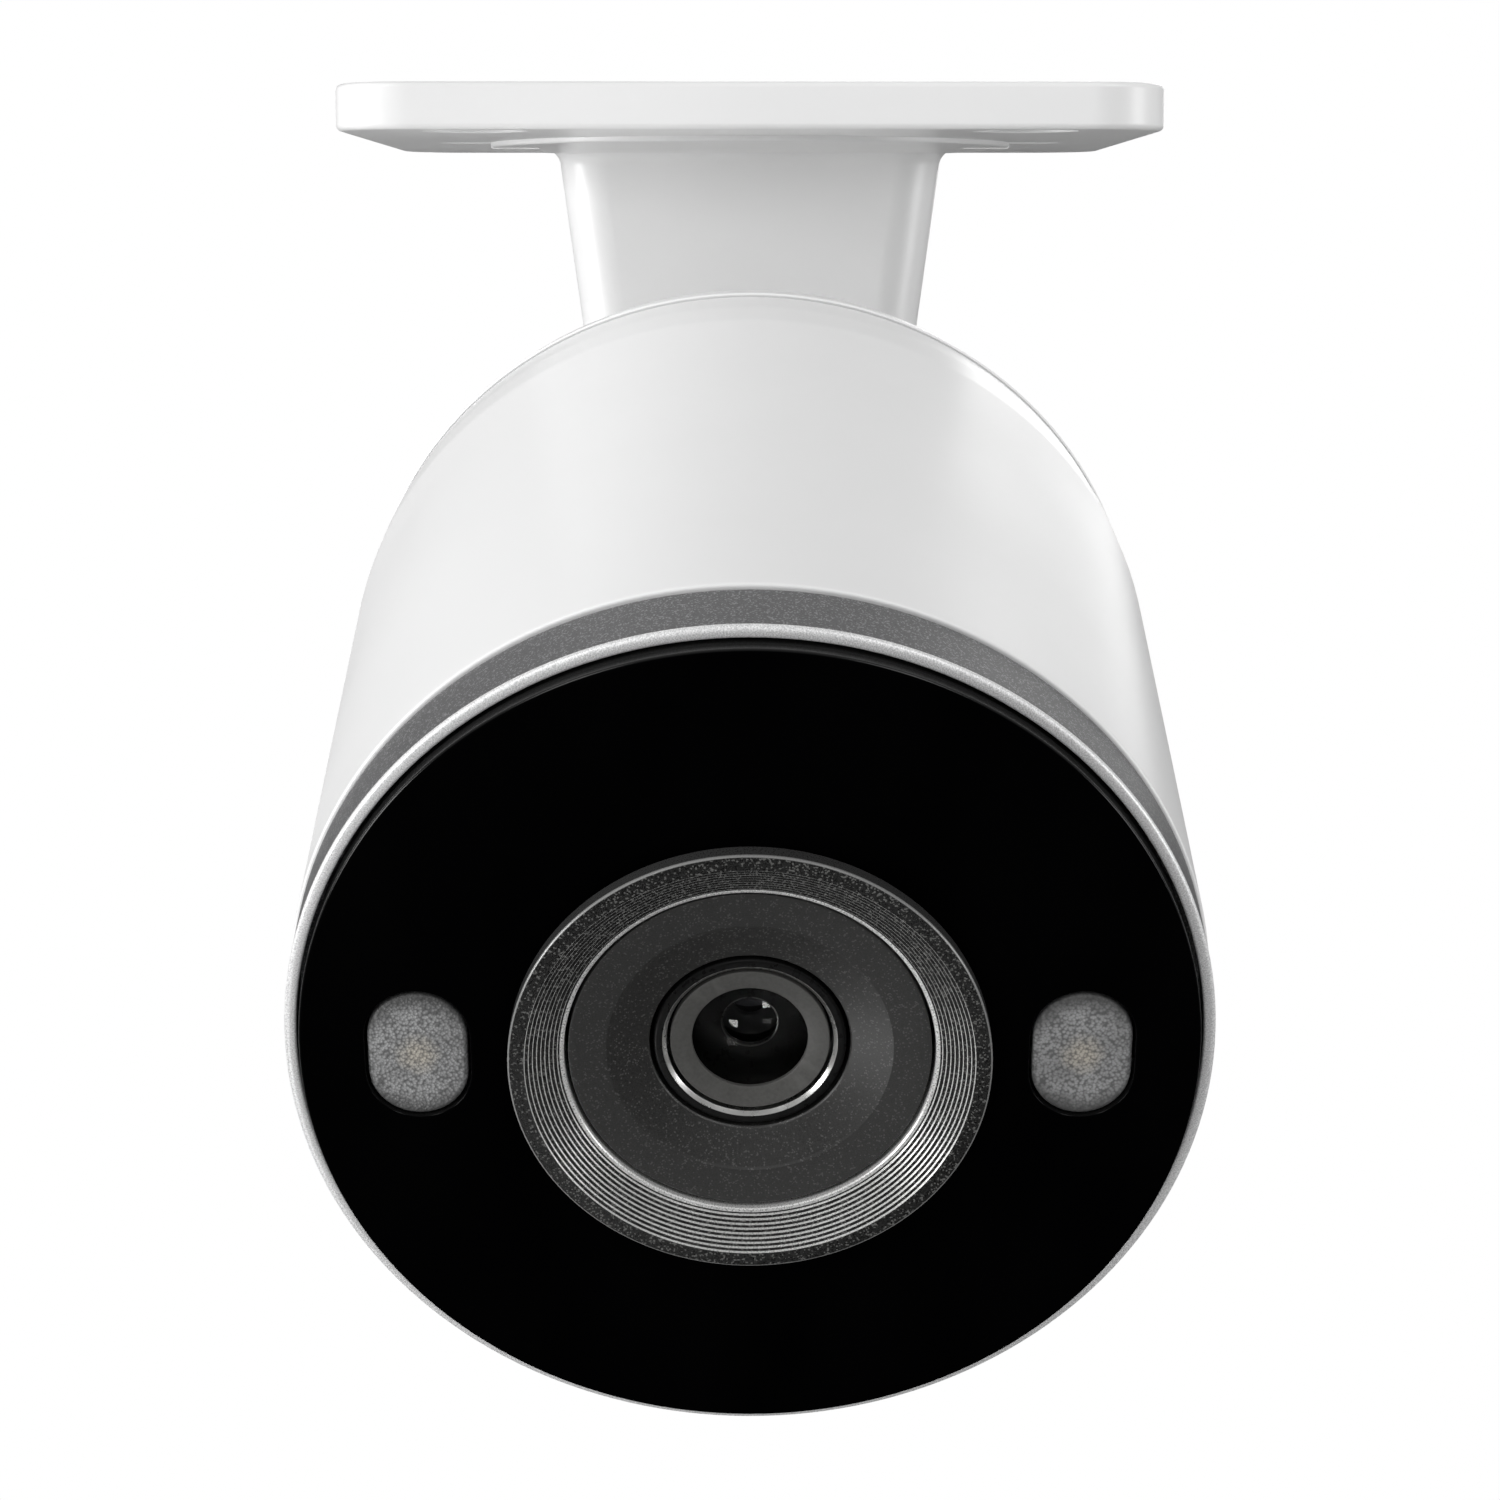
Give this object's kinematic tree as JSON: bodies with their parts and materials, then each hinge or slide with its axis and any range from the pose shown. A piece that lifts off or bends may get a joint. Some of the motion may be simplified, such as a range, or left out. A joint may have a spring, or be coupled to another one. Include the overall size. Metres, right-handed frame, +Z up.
{
  "type": "security camera",
  "caption": "Round security camera with a domed back and lamp windows beside its lens, on a swivelling ceiling bracket that pans, tilts and rolls.",
  "frame": {"origin": "the middle of the bracket's flat face that meets the ceiling", "axes": "+Z up towards the ceiling, -Y the way the camera looks, +X to the right as seen by someone facing the lens"},
  "size_m": [0.075, 0.1399, 0.1095],
  "materials": {
    "white_enamel": "die-cast aluminium under a smooth white baked enamel, satin gloss",
    "grey_enamel": "fine-speckled mid-grey metallic enamel, satin",
    "black_window": "polished black acrylic",
    "dark_trim": "dark grey moulded plastic with a fine metallic speckle",
    "black_plastic": "black moulded plastic, satin",
    "rubber": "black silicone rubber, matt",
    "nylon": "natural nylon, satin",
    "steel": "bright stainless steel",
    "plain_aluminium": "bare aluminium, satin",
    "lens_glass": "coated optical glass",
    "frosted_diffuser": "frosted prismatic diffuser over a warm lamp",
    "lamp_phosphor": "warm white phosphor",
    "circuit_board": "green solder mask, satin",
    "chip_black": "black chip resin"
  },
  "bodies": {
    "bracket": {"mount_bracket": "white_enamel", "pan_spring_washer": "steel", "pan_friction_washer": "nylon"},
    "swivel": {"swivel_yoke": "white_enamel", "pan_bolt": "steel", "tilt_bolt": "steel", "tilt_nut": "steel", "tilt_washer_left": "nylon", "tilt_washer_right": "nylon"},
    "knuckle": {"tilt_knuckle": "white_enamel"},
    "camera": {"roll_friction_washer": "nylon", "roll_lock_ring": "white_enamel", "rear_cap": "white_enamel", "front_shell": "white_enamel", "cap_seal": "rubber", "bezel_seal": "rubber", "bezel_ring": "grey_enamel", "window_gasket": "rubber", "front_window": "black_window", "lens_trim_ring": "dark_trim", "lens_baffle": "dark_trim", "lens_barrel": "black_plastic", "lens_retainer_ring": "steel", "lens_front_glass": "lens_glass", "lens_iris": "black_plastic", "lens_inner_glass": "lens_glass", "lens_rear_glass": "lens_glass", "lens_holder": "black_plastic", "ir_cut_filter": "lens_glass", "image_sensor": "chip_black", "lamp_diffuser_left": "frosted_diffuser", "lamp_diffuser_right": "frosted_diffuser", "lamp_chip_left": "lamp_phosphor", "lamp_chip_right": "lamp_phosphor", "lamp_reflector_left": "plain_aluminium", "lamp_reflector_right": "plain_aluminium", "lamp_board": "circuit_board", "lamp_board_screw_top": "steel", "lamp_board_screw_bottom": "steel", "inner_frame": "black_plastic", "sensor_board": "circuit_board", "main_board": "circuit_board", "board_standoff_1": "plain_aluminium", "board_standoff_2": "plain_aluminium", "board_standoff_3": "plain_aluminium", "board_screw_1": "steel", "board_screw_2": "steel", "board_screw_3": "steel", "processor": "chip_black", "heat_pad": "rubber", "heat_sink": "plain_aluminium", "power_standoff_top": "plain_aluminium", "power_standoff_bottom": "plain_aluminium", "power_board": "circuit_board", "power_inductor": "chip_black", "power_capacitor": "plain_aluminium", "cable_connector": "nylon", "cable_gland": "rubber", "gland_nut": "nylon"}
  },
  "joints": [
    {"name": "pan", "type": "hinge", "parent": "bracket", "child": "swivel", "pos_m": [0, 0.0255, -0.0244], "axis": [0, 0, 1], "range_deg": [-175, 175]},
    {"name": "tilt", "type": "hinge", "parent": "swivel", "child": "knuckle", "pos_m": [0, 0.0255, -0.0341], "axis": [1, 0, 0], "range_deg": [-10, 70]},
    {"name": "roll", "type": "hinge", "parent": "knuckle", "child": "camera", "pos_m": [0, 0.0255, -0.0341], "axis": [0, 0.9397, 0.342], "range_deg": [-180, 180]}
  ]
}
